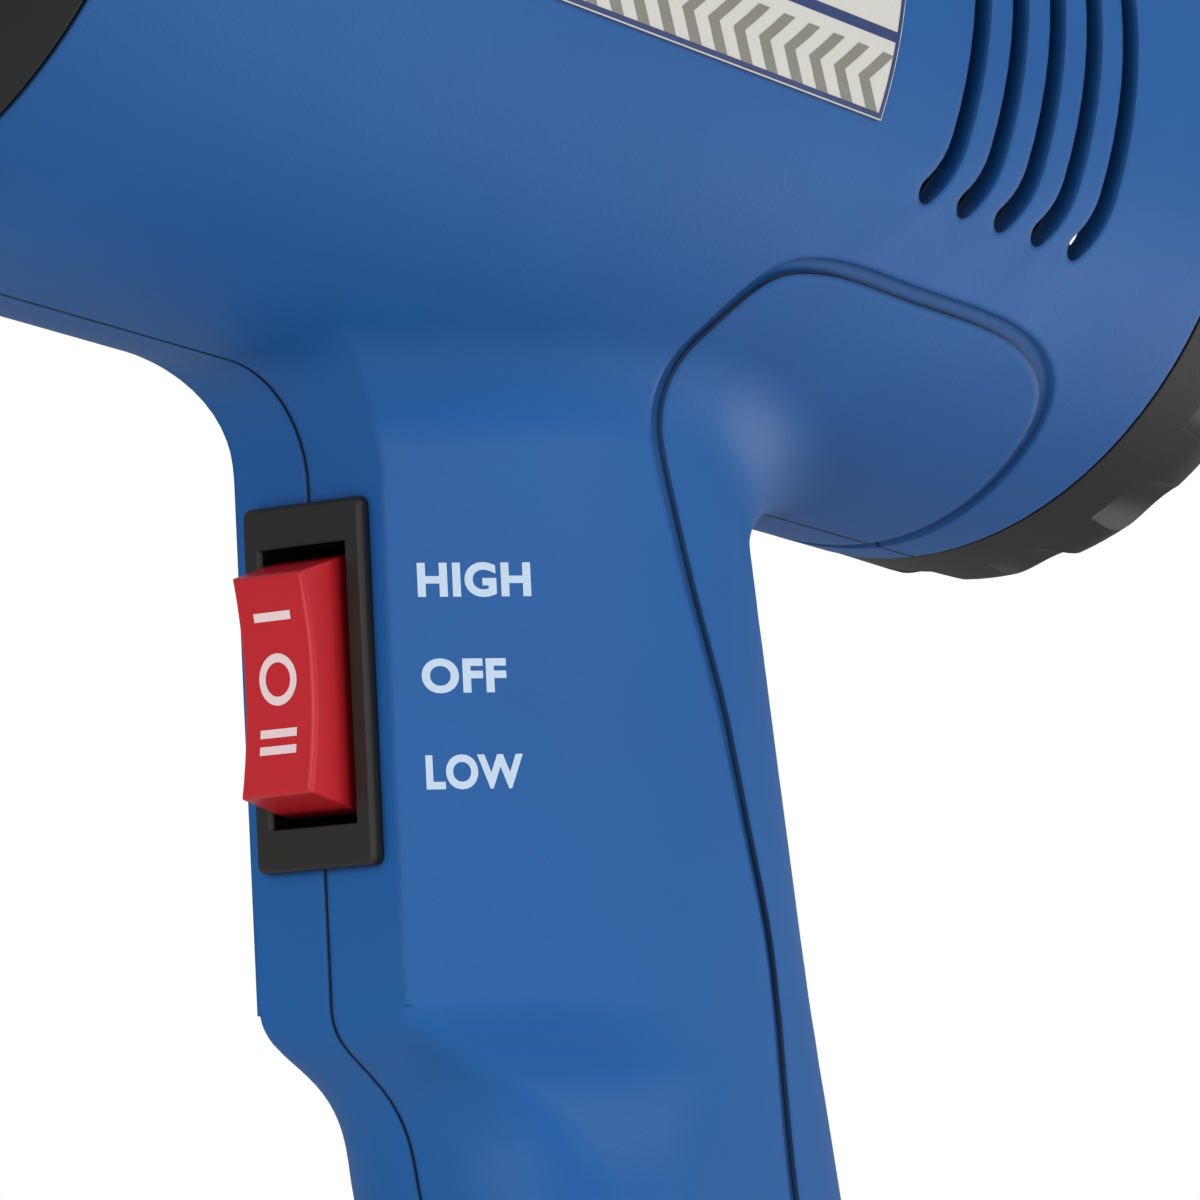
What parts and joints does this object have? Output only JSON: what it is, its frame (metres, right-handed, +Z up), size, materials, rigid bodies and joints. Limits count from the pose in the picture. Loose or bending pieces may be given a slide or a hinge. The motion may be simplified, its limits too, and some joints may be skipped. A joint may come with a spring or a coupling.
{
  "type": "heat gun",
  "caption": "Pistol-grip hot air gun with a steel nozzle, a rocker switch in a raised pad on the handle, side vents and a flat-standing rear cap.",
  "frame": {"origin": "centre of the nozzle's mouth, on the barrel's axis", "axes": "-X out of the nozzle along the barrel's axis, +Z up, away from the handle, -Y the user's left"},
  "size_m": [0.2386, 0.078, 0.1856],
  "materials": {
    "housing": "fine moulded texture",
    "black_plastic": "moulded",
    "label": "printed film",
    "screws": "zinc plated",
    "nozzle_steel": "drawn",
    "plated_steel": "plated",
    "mica": "pressed sheet",
    "heater_wire": "drawn wire",
    "ceramic": "fired",
    "inner_plastic": "moulded",
    "bronze": "sintered",
    "ferrite": "sintered",
    "laminations": "stacked sheet",
    "copper_wire": "enamelled",
    "copper": "turned",
    "carbon": "pressed",
    "circuit_board": "solder mask",
    "red_plastic": "moulded",
    "rubber": "moulded",
    "lead_sleeve": "glass-fibre sleeve"
  },
  "bodies": {
    "gun": {"housing_left": "housing", "housing_right": "housing", "housing_screws": "screws", "side_label": "label", "front_collar": "black_plastic", "rear_cap": "black_plastic", "nozzle_tube": "nozzle_steel", "nozzle_flange": "plated_steel", "mica_tube": "mica", "heater_former": "mica", "heater_coil": "heater_wire", "heater_base": "ceramic", "thermal_cutoff": "plated_steel", "air_guide": "inner_plastic", "fan_shroud": "inner_plastic", "motor_can": "plated_steel", "motor_screws": "screws", "motor_bushings": "bronze", "motor_magnets": "ferrite", "motor_end_bell": "inner_plastic", "motor_brushes": "carbon", "rectifier_board": "circuit_board", "rectifier_diodes": "black_plastic", "switch_body": "black_plastic", "switch_terminals": "copper", "cord_inlet_bush": "rubber", "cord_clamp": "inner_plastic", "clamp_screws": "screws", "heater_leads": "lead_sleeve", "motor_leads": "lead_sleeve"},
    "rocker": {"rocker": "red_plastic"},
    "rotor": {"rotor_shaft": "plated_steel", "armature_core": "laminations", "rotor_winding": "copper_wire", "commutator": "copper", "fan_impeller": "inner_plastic"}
  },
  "joints": [
    {"name": "rocker_tilt", "type": "hinge", "parent": "gun", "child": "rocker", "pos_m": [0.15035, 0, -0.06291], "axis": [0, 1, 0], "range_deg": [-11, 11]},
    {"name": "rotor_spin", "type": "hinge", "parent": "gun", "child": "rotor", "pos_m": [0.14, 0, 0], "axis": [1, 0, 0], "continuous": true}
  ]
}
